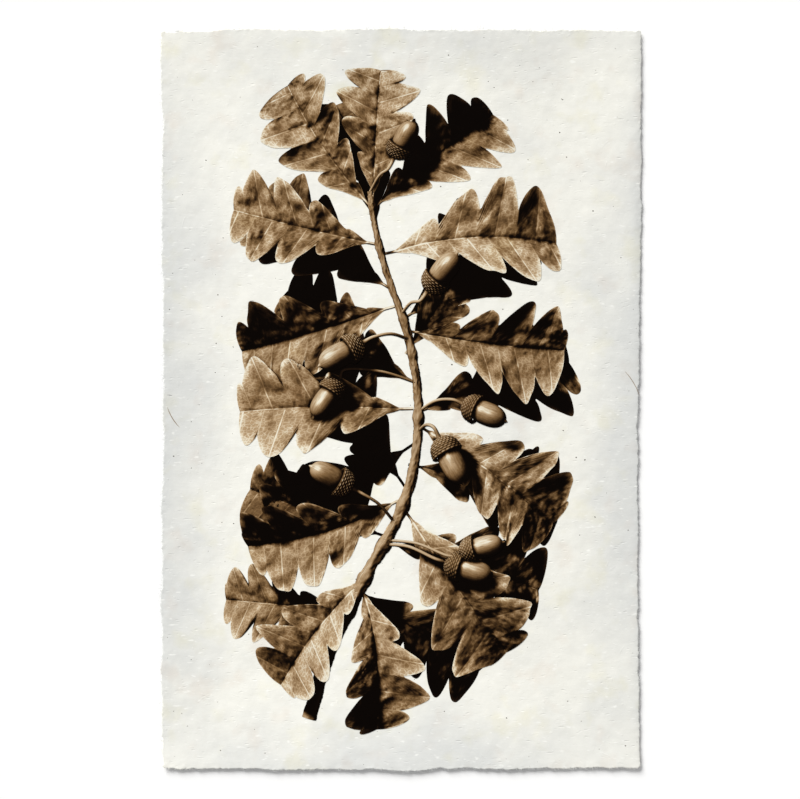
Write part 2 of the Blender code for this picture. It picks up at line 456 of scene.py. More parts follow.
def triangulate(spacing):
    """Outline, rings and inner grid joined into triangles. The outline's points come first."""
    rings = [
        (outline - outline_outward * depth)[::stride]
        for depth, stride in zip(RING_DEPTHS, RING_STRIDES)
    ]
    stride = RING_STRIDES[-1]
    inner = keep_inside(triangle_grid(spacing), rings[-1], outline_outward[::stride], 0.6 * spacing)
    points = np.vstack([outline, *rings, inner])
    rim = np.arange(len(outline))
    edges = np.column_stack([rim, np.roll(rim, -1)])
    result = delaunay_2d_cdt(points.tolist(), edges.tolist(), [], 1, 1e-7)
    return np.array(result[0]), np.array(result[2])


face_points, face_triangles = triangulate(FACE_SPACING)
back_points, back_triangles = triangulate(BACK_SPACING)
print(f"face {len(face_triangles)} triangles, back {len(back_triangles)}")

# %% Build the sheet
def close_sheet():
    """Face, back and the strip of quads, as triangles, that joins their shared outline."""
    rim = np.arange(len(outline))
    face_z = paper_top(*face_points.T)
    back_z = paper_bottom(*back_points.T)
    face_z[rim] = back_z[rim] + RIM_THICKNESS
    points = np.vstack([
        np.column_stack([face_points, face_z]),
        np.column_stack([back_points, back_z]),
    ])
    beside, under = np.roll(rim, -1), rim + len(face_points)
    beside_under = beside + len(face_points)
    strip = np.vstack([
        np.column_stack([rim, under, beside_under]),
        np.column_stack([rim, beside_under, beside]),
    ])
    back = back_triangles[:, ::-1] + len(face_points)
    return points, np.vstack([face_triangles, back, strip])


# %% [markdown]
# Handmade paper is never one colour. Clouds of cream and cool grey drift through the pulp, and the margins
# are greyer. The head's margin is painted less grey than the others, as painted light against the shade of
# its lifted edge, and the head is a touch darker. The right half of the sheet is painted a little darker too,
# as painted shade against the key light that its lifted right edge catches. Painted shade greys a rim along
# the two sides. Faint yellow and pink stains and short pale strokes show here and there. All of it is noise
# in
# Object coordinates, which needs no unwrapping, and so the ink laid over the sheet can repeat the same paper
# under itself. The bump holds what is too fine for the mesh: felt marks drawn out sideways, short pulp and
# sparse dents.

# %% Paper finish
CREAM = sepia(241, 240, 232)
COOL_GREY = sepia(219, 220, 217)
SIDE_RIM_SHADE_GREY = sepia(209, 211, 210)
STRAW_STAIN = sepia(250, 246, 222)
PINK_STAIN = sepia(246, 235, 228)
PALE_PULP = sepia(255, 255, 250)
CLEAR = (1.0, 1.0, 1.0, 1.0)
MARGIN_REACH = 100 * MM
MARGIN_GREY = 1.3
EDGE_REACH = 20 * MM
END_STEEPNESS = 5.0
BUMP_DISTANCE = 0.50 * MM
DENT_DEPTH = 0.23 * MM
FELT_HEIGHT = 0.17
PULP_HEIGHT = 0.24
STAIN_SHARE = 0.35
STROKE_SHARE = 0.60
MOTTLE = 0.10
PAPER_VALUE = 0.99
RIGHT_SIDE_REACH = 0.6
RIGHT_SIDE_PAINTED_SHADE = 0.05
HEAD_FALL = 0.03
HEAD_MARGIN_PAINTED_LIGHT = 0.5
# Sparse marks in two directions: the turn in radians, the noise's scale along and across, the threshold
STROKES = ((-0.2, 80.0, 230.0, 0.69), (0.9, 110.0, 300.0, 0.71))
DENTS = ((0.12, 75.0, 270.0, 0.715), (-0.95, 95.0, 290.0, 0.71))
PEAK_STEEPNESS = 9.0


def edge_shares(tree, place):
    """Near the sheet's edge, near it and far from a corner: 1 at the edge, falling to 0 inside it. The
    first takes EDGE_REACH to fall, and the second MARGIN_REACH."""
    offsets = [maths(tree, "ABSOLUTE", part) for part in split(tree, place)[:2]]
    gaps = [minus(tree, float(half), offset) for half, offset in zip(HALF, offsets)]
    nearest = maths(tree, "MINIMUM", *gaps)
    rim, margin = (
        minus(tree, 1.0, over(tree, nearest, reach), clamp=True)
        for reach in (EDGE_REACH, MARGIN_REACH)
    )
    corner = over(tree, times(tree, *offsets), float(HALF[0] * HALF[1]))
    side = minus(tree, 1.15, corner, clamp=True)
    return rim, times(tree, margin, side)


def sparse_marks(tree, place, directions, strength):
    """Short strokes far apart, of the strength at their middle: the peaks of one noise for each direction,
    drawn out that way."""
    peaks = []
    for turned, along, across, threshold in directions:
        slots = {"Vector": place, "Rotation": (0.0, 0.0, turned), "Scale": (along, across, along)}
        drawn_out = add(tree, "Mapping", slots)
        peak = minus(tree, noise(tree, drawn_out, 1.0, 1.0, 0.4), threshold)
        peaks.append(times(tree, peak, PEAK_STEEPNESS, clamp=True))
    return times(tree, maths(tree, "MAXIMUM", *peaks), strength)


def paper_colour(tree, place):
    """Cream drifting to cool grey, greyer margins, faint stains, pale strokes and a mottle, with painted
    light and shade: painted shade greys a rim along the two sides alone, the head's margin is painted less
    grey than the others against the shade of its lifted edge but is a touch darker, and the right half is
    painted darker against the key light on its lifted edge."""
    x, y, _ = split(tree, place)
    rim, margin = edge_shares(tree, place)
    towards_head = maths(tree, "POWER", over(tree, y, float(HALF[1])), END_STEEPNESS)
    # Painted light: the head's margin is made less grey, against the shade that the key gives its lifted
    # edge.
    head_painted_light = times(tree, towards_head, HEAD_MARGIN_PAINTED_LIGHT, clamp=True)
    margin = times(tree, margin, minus(tree, 1.0, head_painted_light))
    drift = times(tree, minus(tree, noise(tree, place, 9, 4, 0.55), 0.5), 2.0)
    grey_share = plus(tree, times(tree, margin, MARGIN_GREY), drift, clamp=True)
    colour = mix_colour(tree, grey_share, CREAM, COOL_GREY)
    # Painted shade: a grey rim along the two sides, left out at the head and the foot.
    from_ends = minus(tree, 1.0, maths(tree, "ABSOLUTE", towards_head), clamp=True)
    rim_painted_shade = times(tree, times(tree, rim, from_ends), noise(tree, place, 30, 3))
    colour = mix_colour(tree, rim_painted_shade, colour, SIDE_RIM_SHADE_GREY)
    stains = add(tree, "ValToRGB", {"Fac": noise(tree, place, 17, 3, 0.6)})
    ramp = stains.node.color_ramp
    ramp.elements[0].position, ramp.elements[0].color = 0.30, STRAW_STAIN
    ramp.elements[1].position, ramp.elements[1].color = 0.70, PINK_STAIN
    ramp.elements.new(0.44).color = CLEAR
    ramp.elements.new(0.57).color = CLEAR
    colour = mix_colour(tree, STAIN_SHARE, colour, stains, "MULTIPLY")
    colour = mix_colour(tree, sparse_marks(tree, place, STROKES, STROKE_SHARE), colour, PALE_PULP)
    mottle = times(tree, minus(tree, noise(tree, place, 110, 6, 0.66), 0.5), MOTTLE)
    # Painted shade: the right half is a little darker, against the key light that its lifted right edge
    # catches.
    right = over(tree, x, float(RIGHT_SIDE_REACH * HALF[0]), clamp=True)
    value = minus(tree, PAPER_VALUE, times(tree, right, RIGHT_SIDE_PAINTED_SHADE))
    value = minus(tree, value, times(tree, towards_head, HEAD_FALL, clamp=True))
    return mix_colour(tree, 1.0, colour, plus(tree, mottle, value), "MULTIPLY")


def paper_bump(tree, place):
    """Felt marks drawn out sideways, short pulp and sparse dents, as one height for the shading."""
    sideways = add(tree, "Mapping", {"Vector": place, "Scale": (70.0, 330.0, 70.0)})
    felt = noise(tree, sideways, 1.0, 3, 0.55)
    pulp = noise(tree, place, 240, 5, 0.6)
    height = plus(tree, times(tree, felt, FELT_HEIGHT), times(tree, pulp, PULP_HEIGHT))
    height = minus(tree, height, sparse_marks(tree, place, DENTS, DENT_DEPTH / BUMP_DISTANCE))
    return add(tree, "Bump", {"Height": height, "Distance": BUMP_DISTANCE, "Strength": 1.0})


paper, paper_tree, paper_shader = new_material("handmade_paper", 0.9)
paper_place = add(paper_tree, "TexCoord", out="Object")
paper_tree.links.new(paper_colour(paper_tree, paper_place), paper_shader.inputs["Base Color"])
paper_tree.links.new(paper_bump(paper_tree, paper_place), paper_shader.inputs["Normal"])
paper_shader.inputs["Sheen Weight"].default_value = 0.08
paper_shader.inputs["Specular IOR Level"].default_value = 0.25

sheet = make_piece("handmade_sheet", *close_sheet(), paper)
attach(sheet, "root")
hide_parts("paper_sheet")

# %% [markdown]
# Long bast fibres run through the pulp. At the rim they hang out as a soft fringe, and in the face they
# lie as low ridges, mostly sideways, the way the mould was shaken. A fibre is a thin arc with three points
# across: its middle stands up and its sides sink into the sheet, so that it grows out of the paper instead
# of lying on it. A hair, a loose thread and flecks of bark are what the maker's vat let through.

# %% Fibre helper
def strands(starts, headings, bends, lengths, widths, rows):
    """Arcs across the sheet as grids of x and y, count x rows x 3. An arc's heading turns evenly by its
    bend from its start to its end, and its width narrows at both ends."""
    share = np.linspace(0, 1, rows)[None, :]
    heading = headings[:, None] + bends[:, None] * (share - 0.5)
    step = lengths[:, None] / (rows - 1)
    middle_x = starts[:, :1] + np.cumsum(np.cos(heading) * step, axis=1) - np.cos(heading[:, :1]) * step
    middle_y = starts[:, 1:] + np.cumsum(np.sin(heading) * step, axis=1) - np.sin(heading[:, :1]) * step
    half = widths[:, None] / 2 * (1 - 0.85 * np.abs(2 * share - 1) ** 3)
    across = np.array([-1, 0, 1])
    x = middle_x[..., None] - (np.sin(heading) * half)[..., None] * across
    y = middle_y[..., None] + (np.cos(heading) * half)[..., None] * across
    return x, y


def make_strands(name, x, y, z, material):
    piece = make_piece(name, *many_grids(as_points(x, y, z)), material)
    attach(piece, "root")


# %% Fringe of fibre at the rim
FRINGE_COUNT = 3200
FRINGE_ROOT = 1.6 * MM

fibre_rng = np.random.default_rng(31)
at_rim = fibre_rng.integers(0, len(outline), FRINGE_COUNT)
fringe_starts = outline[at_rim] - outline_outward[at_rim] * FRINGE_ROOT
outward_heading = np.arctan2(outline_outward[at_rim, 1], outline_outward[at_rim, 0])
fringe_headings = outward_heading + fibre_rng.normal(0, 0.85, FRINGE_COUNT)
fringe_bends = fibre_rng.normal(0, 1.3, FRINGE_COUNT)
fringe_lengths = np.clip(fibre_rng.lognormal(1.05, 0.42, FRINGE_COUNT), 1.8, 8) * MM
fringe_widths = fibre_rng.uniform(0.12, 0.42, FRINGE_COUNT) * MM
x, y = strands(fringe_starts, fringe_headings, fringe_bends, fringe_lengths, fringe_widths, 6)
droop = fibre_rng.uniform(-0.5, 0.5, (FRINGE_COUNT, 1, 1)) * MM * np.linspace(0, 1, 6)[None, :, None] ** 2
z = underside(x, y) + 0.10 * MM + droop
z[..., 1] += 0.05 * MM
make_strands("rim_fibres", x, y, z, paper)

# %% Brown hairs and loose threads
# Start x and y, heading in radians, bend, length and width in millimetres
HAIRS = np.array([
    (306.0, 38.5, -1.02, -0.40, 40.0, 0.95),
    (-319.6, -10.5, -1.05, 0.45, 32.0, 1.15),
])
THREADS = np.array([
    (-309.0, 503.0, 0.15, -0.50, 7.0, 0.7),
    (-320.5, 6.4, -0.10, -0.20, 7.5, 0.9),
])


def lay_strands(name, table, heights, material):
    """Strands from a table's rows. The heights, in millimetres over the paper, are across each one."""
    x, y = strands(table[:, :2] * MM, table[:, 2], table[:, 3], table[:, 4] * MM, table[:, 5] * MM, 14)
    make_strands(name, x, y, paper_top(x, y) + np.array(heights) * MM, material)


hair_brown, _, hair_shader = new_material("brown_fibre", 0.8)
hair_shader.inputs["Base Color"].default_value = sepia(146, 128, 108)
lay_strands("brown_hairs", HAIRS, (0.02, 0.30, 0.02), hair_brown)
thread_grey, _, thread_shader = new_material("grey_thread", 0.8)
thread_shader.inputs["Base Color"].default_value = sepia(160, 161, 159)
lay_strands("loose_threads", THREADS, (0.05, 0.20, 0.05), thread_grey)

# %% Flecks of bark
FLECK_COUNT = 210
FLECK_CORNERS = 7

fleck_brown, _, fleck_shader = new_material("bark_fleck", 0.85)
fleck_shader.inputs["Base Color"].default_value = sepia(84, 76, 68)
fleck_places = fibre_rng.uniform(-1, 1, (FLECK_COUNT, 1, 2)) * (HALF - 6 * MM)
turns = np.linspace(0, 2 * math.pi, FLECK_CORNERS, endpoint=False)[None, :]
fleck_sizes = 0.35 + 0.60 * fibre_rng.uniform(0, 1, (FLECK_COUNT, 1)) ** 2
reach = fleck_sizes * fibre_rng.uniform(0.6, 1.3, (FLECK_COUNT, FLECK_CORNERS))
ring = np.stack([1.3 * reach * np.cos(turns), reach * np.sin(turns)], axis=-1) * MM
flecks = np.concatenate([fleck_places, fleck_places + ring], axis=1)
fleck_z = paper_top(flecks[..., 0], flecks[..., 1]) + 0.03 * MM
fleck_z[:, 0] += 0.04 * MM
corner = np.arange(FLECK_CORNERS)
fan = np.column_stack([np.zeros(FLECK_CORNERS, int), corner + 1, (corner + 1) % FLECK_CORNERS + 1])
fleck_faces = (fan[None] + np.arange(FLECK_COUNT)[:, None, None] * (FLECK_CORNERS + 1)).reshape(-1, 3)
fleck_points = np.concatenate([flecks, fleck_z[..., None]], axis=-1).reshape(-1, 3)
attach(make_piece("bark_flecks", fleck_points, fleck_faces, fleck_brown), "root")

# %% [markdown]
# The picture is an oak sprig in the browns of an old photograph. It could be painted as flat shapes, but a
# photograph gets its depth from light, so the sprig is first modelled in the round. Every leaf, acorn and
# length of twig is a grid of points, in millimetres, with z towards the viewer. Later cells light the
# model, find what a viewer would see of it, and press it flat into a film of ink.
# A smooth curve through a few knots gives the twig and the stalks their paths.

# %% Helpers for the sprig
rng = np.random.default_rng(12)
soft_field = cloud(seed=21, longest=60 * MM, shortest=22 * MM)
crinkle_field = cloud(seed=22, longest=20 * MM, shortest=7 * MM)
speck_field = cloud(seed=23, longest=7 * MM, shortest=2.6 * MM)


def smooth_path(knots, count):
    """A Catmull-Rom curve: a cubic from each knot to the next that leaves and meets them smoothly."""
    knots = np.asarray(knots, float)
    padded = np.vstack([2 * knots[0] - knots[1], knots, 2 * knots[-1] - knots[-2]])
    at = np.linspace(0, len(knots) - 1, count)
    start = np.minimum(at.astype(int), len(knots) - 2)
    t = (at - start)[:, None]
    a, b, c, d = (padded[start + step] for step in range(4))
    bend = (2 * a - 5 * b + 4 * c - d) * t**2 + (3 * b - a - 3 * c + d) * t**3
    return 0.5 * (2 * b + (c - a) * t + bend)


def turn(grids, yaw, pitch, roll):
    """Turns each grid by its own angles in degrees: roll about x, pitch lifts x to z, yaw about z."""
    x, y, z = np.moveaxis(grids, -1, 0)
    yaw, pitch, roll = (np.radians(angle)[:, None, None] for angle in (yaw, pitch, roll))
    y, z = y * np.cos(roll) - z * np.sin(roll), y * np.sin(roll) + z * np.cos(roll)
    x, z = x * np.cos(pitch) - z * np.sin(pitch), x * np.sin(pitch) + z * np.cos(pitch)
    return as_points(x * np.cos(yaw) - y * np.sin(yaw), x * np.sin(yaw) + y * np.cos(yaw), z)


def wobble(field, along, across, seeds):
    """Random relief with a spread of 1 over a grid's own two lengths in mm, shifted for each seed."""
    shifts = np.asarray(seeds, float)[:, None, None]
    x = (along + 131 * shifts) % 600 - 300
    y = (across + 77 * shifts) % 900 - 450
    return sample(field, x * MM, y * MM)


print(f"relief fields of {soft_field.shape} cells")

# %% [markdown]
# An oak leaf's side veins slant forward from the midrib, and its round lobes grow along them. So each row
# of the grid is a slanting line too, and the leaf's half width along a row is an egg-shaped envelope cut
# by a notch between every two lobes. The blade folds at the midrib, bulges between its veins and curls.
# The first rows are the stalk.

# %% Leaves
LEAF_ROWS = 124
LEAF_COLUMNS = 41
LEAF_SLANT = 30
LEAF_WIDTH = 0.34
STALK_SHARE = 0.07
NOTCH_DEPTH = 0.60
FRONT_LEAVES = 13

# Base x, y and z, direction, length, lift of the tip, roll, fold and paleness, leaf by leaf. The leaves
# after the first FRONT_LEAVES grow behind the twig.
LEAVES = np.array([
    (-40, 268, 14, 86, 170, 6, -8, 0.25, 1.00),
    (-38, 258, 6, 44, 195, 2, 14, 0.18, 0.92),
    (-40, 260, 8, 131, 190, 4, -12, 0.22, 1.06),
    (-30, 213, -4, 170, 190, 8, 10, 0.15, 0.94),
    (-28, 203, 2, 12, 220, 4, -14, 0.24, 1.08),
    (-5, 125, 8, 195, 205, 2, -10, 0.20, 1.02),
    (5, 93, 4, -9, 205, 8, 12, 0.16, 0.90),
    (18, -8, 10, 182, 220, 6, 14, 0.24, 0.96),
    (22, -30, 8, -34, 215, 4, -10, 0.18, 1.10),
    (5, -138, 8, 205, 205, 4, -12, 0.22, 1.00),
    (0, -150, 12, -54, 225, 6, 12, 0.20, 0.94),
    (-45, -236, 6, 226, 180, 8, 10, 0.18, 1.06),
    (-52, -250, 10, -76, 185, 4, -12, 0.24, 0.98),
    (8, 62, -34, 56, 205, -4, 10, 0.12, 0.80),
    (2, -120, -34, 124, 205, -4, -10, 0.12, 0.82),
    (20, -20, -36, 22, 210, -6, 8, 0.14, 0.78),
    (-20, -195, -32, -14, 205, -4, -8, 0.14, 0.84),
    (-70, -288, -28, 178, 160, -2, 10, 0.12, 0.86),
    (-10, 150, -40, 148, 205, -4, 8, 0.14, 0.80),
    (0, 110, -46, 34, 190, -6, -10, 0.12, 0.76),
    (22, 20, -44, 150, 205, -4, -8, 0.14, 0.80),
    (16, -60, -42, 214, 205, -6, 10, 0.12, 0.78),
    (10, -90, -48, -12, 200, -4, 8, 0.14, 0.80),
    (-30, 235, -40, 100, 170, -8, 10, 0.12, 0.76),
    (-20, -190, -44, 160, 190, -6, -8, 0.12, 0.78),
    (-60, -262, -40, -34, 190, -6, 8, 0.12, 0.80),
])


def one_each(low, high):
    """A random number for every leaf."""
    return rng.uniform(low, high, (len(LEAVES), 1, 1))


def leaf_grids():
    """The leaves' grids, with each point's lobe phase, distance across and share of the length."""
    leaf_numbers = range(len(LEAVES))
    bases = LEAVES[:, None, None, :3]
    yaw, length, pitch, roll, fold = LEAVES[:, 3:8].T
    length, fold = length[:, None, None], fold[:, None, None]
    steps = np.linspace(0, 1, LEAF_ROWS)
    share = (-STALK_SHARE + (1 + STALK_SHARE) * (1 - (1 - steps) ** 1.6))[None, :, None]
    blade = np.clip(share, 0, 1)
    side = np.linspace(-1, 1, LEAF_COLUMNS)
    side = (np.sign(side) * np.abs(side) ** 1.2)[None, None, :]
    lobes = one_each(3.7, 4.6)
    start = one_each(-0.1, 0.25)
    phase = lobes * blade**1.05 + start + np.where(side > 0, 0.3, 0.0)
    notch = 1 - np.abs(np.cos(math.pi * phase)) ** 0.62
    depth = NOTCH_DEPTH * (1 - np.abs(2 * blade - 1) ** 5)
    envelope = blade**1.1 * (1 - blade) ** 0.5 / 0.371
    ragged = 1 + 0.03 * wobble(soft_field, length * blade, 40 * np.sign(side), leaf_numbers)
    reach = LEAF_WIDTH * length * envelope * (1 - depth * notch) * ragged
    stalk = np.where(share < 0.05, 1.9, 0.4)
    half_width = np.maximum(reach, stalk)
    y = side * half_width
    slant = np.tan(np.radians(LEAF_SLANT * (1 - 0.5 * blade**2)))
    x = length * (share + STALK_SHARE) + slant * np.abs(y) * (share > 0)
    far = np.abs(side)
    swell = np.sin(math.pi * far) ** 0.7
    bulge = 2.6 * np.abs(np.sin(math.pi * phase)) ** 0.8 * swell * envelope
    curl = one_each(-5, 11) * far**3 * envelope
    flap = 5 * np.sin(math.pi * phase + one_each(0, 6)) * far**2 * envelope
    arch = -one_each(0.05, 0.16) * length * (2 * blade - 0.8) ** 2
    twist = one_each(-0.3, 0.3) * y * (blade - 0.3)
    groove = -0.7 * np.exp(-((y / 2.4) ** 2)) * (share > 0)
    round_stalk = 2.0 * (1 - (y / half_width) ** 2) * (share < 0.02)
    middle = groove + round_stalk
    rough = 0.8 * wobble(soft_field, x, y, leaf_numbers) + 0.30 * wobble(crinkle_field, x, y, leaf_numbers)
    z = fold * np.abs(y) + bulge + curl + flap + arch + twist + middle + rough * np.minimum(1, reach / 12)
    bent_y = y + one_each(-0.14, 0.14) * length * blade**2
    return turn(as_points(x, bent_y, z), yaw, pitch, roll) + bases, as_points(phase, y, share)


leaves, leaf_detail = leaf_grids()
leaf_low, leaf_high = leaves.min(axis=(0, 1, 2)).round(), leaves.max(axis=(0, 1, 2)).round()
print(f"{len(leaves)} leaves, from {leaf_low} to {leaf_high} mm")

# %% [markdown]
# An acorn is two surfaces of revolution. The nut is a blunt spindle drawn out into a small point. Its cup
# is a shallow bowl of shingled scales: a saw-tooth in each row lifts the scale's free end, and every other
# row is moved along by half a scale, as tiles are on a roof.

# %% Acorns
# Base x, y and z, direction, lift of the tip, size, paleness
ACORNS = np.array([
    (52, -52, 34, -62, 12, 1.00, 1.00),
    (84, -6, 30, -22, 18, 0.92, 0.94),
    (-52, 78, 30, 208, 14, 0.96, 1.04),
    (-84, 28, 26, 236, 8, 0.88, 0.96),
    (36, 148, 30, 52, 16, 0.94, 1.00),
    (60, -222, 32, -18, 14, 0.98, 0.98),
    (80, -210, 42, 14, 10, 0.86, 1.06),
    (-66, -122, 30, 152, 12, 0.92, 1.00),
    (-10, 330, 30, 62, 14, 0.84, 0.96),
])
NUT_RADIUS, NUT_START, NUT_LENGTH = 17.5, 12.0, 60.0
CUP_RADIUS, CUP_LENGTH = 21.5, 25.0
CUP_SCALE_ROWS, CUP_SCALES, CUP_SCALE_HEIGHT = 8, 18, 1.9


def revolve(along, radius, angle):
    """Points at a distance along x and at a radius and an angle about it."""
    return as_points(along, radius * np.cos(angle), radius * np.sin(angle))


def nut_grids():
    step = (0.5 - 0.5 * np.cos(math.pi * np.linspace(0.002, 0.998, 44)))[None, :, None]
    angle = np.linspace(0, 2 * math.pi, 49)[None, None, :]
    radius = NUT_RADIUS * (1 - np.abs(2 * step - 1) ** 2.6) ** 0.5
    tip = 4.0 * np.exp(-((radius / 2.2) ** 2)) * (step > 0.5)
    along = NUT_START + NUT_LENGTH * step + tip
    return revolve(along, radius, angle), as_points(angle * 8, along, step)


def cup_grids():
    step = np.linspace(0.01, 1, 44)[None, :, None]
    angle = np.linspace(0, 2 * math.pi, 109)[None, None, :]
    bowl = np.clip(step / 0.9, 0, 1)
    lip = np.clip((step - 0.9) / 0.1, 0, 1)
    row = bowl * CUP_SCALE_ROWS
    shift = 0.5 * (np.floor(row) % 2)
    place = (angle / (2 * math.pi) * CUP_SCALES + shift) % 1 - 0.5
    scale = (row % 1) ** 1.5 * (1 - np.abs(2 * place) ** 1.7)
    bowl_radius = CUP_RADIUS * (1 - (1 - bowl) ** 2.2) ** 0.5 * (1 - 0.22 * lip**2)
    radius = bowl_radius + CUP_SCALE_HEIGHT * scale * (1 - lip)
    along = CUP_LENGTH * bowl + 1.6 * np.sin(math.pi * lip)
    return revolve(along, radius, angle), as_points(angle * 8, along, scale)


def place_acorns(grids, detail):
    size = ACORNS[:, 5][:, None, None, None]
    turned = turn(grids * size, ACORNS[:, 3], ACORNS[:, 4], np.zeros(len(ACORNS)))
    return turned + ACORNS[:, None, None, :3], np.repeat(detail, len(ACORNS), axis=0)


nuts, nut_detail = place_acorns(*nut_grids())
cups, cup_detail = place_acorns(*cup_grids())
print(f"{len(ACORNS)} acorns of {nuts.shape[1:3]} and {cups.shape[1:3]} points")

# %% [markdown]
# The twig and the acorns' stalks are tubes along their paths. Only the half that faces the viewer is
# printed, so only that half is made. The twig swells where leaves grow from it, and its bark is furrowed.

# %% Twig and stalks
TWIG_KNOTS = [
    (-126, -436, -16), (-98, -345, -6), (-48, -242, 0), (4, -142, 2), (24, -34, 2),
    (12, 78, 4), (-22, 180, 4), (-38, 250, 6), (-42, 285, 8),
]
NODE_HEIGHTS = np.array([-290, -245, -200, -145, -25, 65, 110, 210, 266])
NODE_SWELLING, NODE_REACH = 0.38, 9
TWIG_FOOT_RADIUS, TWIG_TIP_RADIUS = 9.5, 3.6
STALK_RADIUS = 2.3

twig_path = smooth_path(TWIG_KNOTS, 420)


def tube(path, radius, columns):
    """The viewer's half of a tube about a path that runs mostly across the view."""
    tangent = np.gradient(path, axis=0)
    tangent /= np.linalg.norm(tangent, axis=1, keepdims=True)
    sideways = np.cross((0.0, 0.0, 1.0), tangent)
    sideways /= np.linalg.norm(sideways, axis=1, keepdims=True)
    upward = np.cross(tangent, sideways)
    angle = np.linspace(-0.08 * math.pi, 1.08 * math.pi, columns)[None, :, None]
    round_it = np.cos(angle) * sideways[:, None] + np.sin(angle) * upward[:, None]
    return path[:, None] + radius[..., None] * round_it


def twig_grid():
    along = np.append(0, np.cumsum(np.linalg.norm(np.diff(twig_path, axis=0), axis=1)))
    thickness = np.interp(along, [0, along[-1]], [TWIG_FOOT_RADIUS, TWIG_TIP_RADIUS])
    gaps = twig_path[:, 1][:, None] - NODE_HEIGHTS[None]
    swelling = 1 + NODE_SWELLING * np.exp(-((gaps / NODE_REACH) ** 2)).sum(axis=1)
    along, ring = along[None, :, None], np.linspace(0, 30, 19)[None, None, :]
    bark = 0.55 * wobble(crinkle_field, along / 3, ring, [5])
    bark = bark + 0.35 * wobble(speck_field, along / 2, ring, [9])
    radius = thickness[:, None] * swelling[:, None] + bark[0]
    return tube(twig_path, radius, 19)[None], as_points(ring, along / 4, 0.0)


def stalk_grids():
    """A stalk from the twig's nearest point to each acorn's cup, bowed towards the viewer."""
    grids = []
    for base, yaw, size in zip(ACORNS[:, :3], np.radians(ACORNS[:, 3]), ACORNS[:, 5]):
        back = base - 16 * np.array([math.cos(yaw), math.sin(yaw), -0.2])
        away = np.linalg.norm(twig_path[:, :2] - back[:2], axis=1) - 0.3 * (back[1] - twig_path[:, 1])
        root = twig_path[np.argmin(away)]
        path = smooth_path([root, (root + back) / 2 + (0, 6, 6), back, base], 40)
        swell = 1 + 0.5 * np.linspace(0, 1, 40) ** 6
        grids.append(tube(path, np.full((40, 9), STALK_RADIUS * size) * swell[:, None], 9))
    grids = np.stack(grids)
    ring, along = np.meshgrid(np.linspace(0, 6, 9), np.linspace(0, 20, 40))
    return grids, np.broadcast_to(as_points(ring, along, 0.0), grids.shape)


twig, twig_detail = twig_grid()
stalks, stalk_detail = stalk_grids()
print(f"twig {twig.shape[1:3]}, {len(stalks)} stalks {stalks.shape[1:3]}")

# %% [markdown]
# Light makes the drawing. A depth map holds, for each small cell of a plane, how near the nearest surface
# comes. Seen from the front it tells what is hidden and, blurred, where the surroundings stand higher and
# so shade a hollow. Seen from the light it tells where shadows fall. The points leave gaps in a map where
# they miss a cell, and these are closed for light and shade. The map that tells what is hidden keeps them,
# since a gap there hides nothing. All of it is done once on whole arrays of points, which costs far less
# than a second picture would.

# %% Depth maps
LIGHT_DIRECTION = np.array([-0.52, 0.60, 0.61])
MAP_REACH = 620.0
VIEW_CELL = 1.0
SHADE_CELL = 1.2
VIEW_BASIS = np.eye(3)
# How much a hollow shades, by how far round it the surroundings are blurred in millimetres
HOLLOW_STRENGTHS = {4: 0.55, 11: 0.7, 28: 0.7}


def facing(direction):
    """Three rows: two directions across the plane that faces a direction, and the direction itself."""
    towards = direction / np.linalg.norm(direction)
    across = np.cross((0.0, 1.0, 0.0), towards)
    across /= np.linalg.norm(across)
    return np.stack([across, np.cross(towards, across), towards])


def densify(grids, times_along, times_across):
    """All the grids' points, and more between them by straight interpolation."""
    for axis, finer in ((1, times_along), (2, times_across)):
        count = grids.shape[axis]
        at = np.linspace(0, count - 1, (count - 1) * finer + 1)
        low = np.minimum(at.astype(int), count - 2)
        share = (at - low).reshape([-1 if other == axis else 1 for other in range(4)])
        grids = np.take(grids, low, axis) * (1 - share) + np.take(grids, low + 1, axis) * share
    return grids.reshape(-1, 3)


def map_cells(seen, cell):
    """The column and the row of the map's cell that each point falls in."""
    return np.moveaxis(((seen[..., :2] + MAP_REACH) / cell).astype(int), -1, 0)


def nine_near(field):
    """The field and its eight copies moved by one cell."""
    return [np.roll(field, (down, across), axis=(0, 1)) for down in (-1, 0, 1) for across in (-1, 0, 1)]


def depth_map(points, basis, cell, empty):
    """The nearest depth in each cell, with gaps where the points missed a cell."""
    side = int(2 * MAP_REACH / cell)
    seen = points @ basis.T
    column, row = map_cells(seen, cell)
    depths = np.full(side * side, empty)
    np.maximum.at(depths, row * side + column, seen[:, 2])
    return depths.reshape(side, side)


def close_gaps(depths):
    """The map spread by one cell all round, and then drawn in again by as much."""
    return np.min(nine_near(np.max(nine_near(depths), axis=0)), axis=0)


def blur(field, radius):
    """A Gaussian blur by the Fourier transform, with the radius in cells."""
    down = np.fft.fftfreq(field.shape[0])[:, None]
    across = np.fft.rfftfreq(field.shape[1])[None, :]
    soften = np.exp(-2 * (math.pi * radius) ** 2 * (down**2 + across**2))
    return np.fft.irfft2(np.fft.rfft2(field) * soften, field.shape)


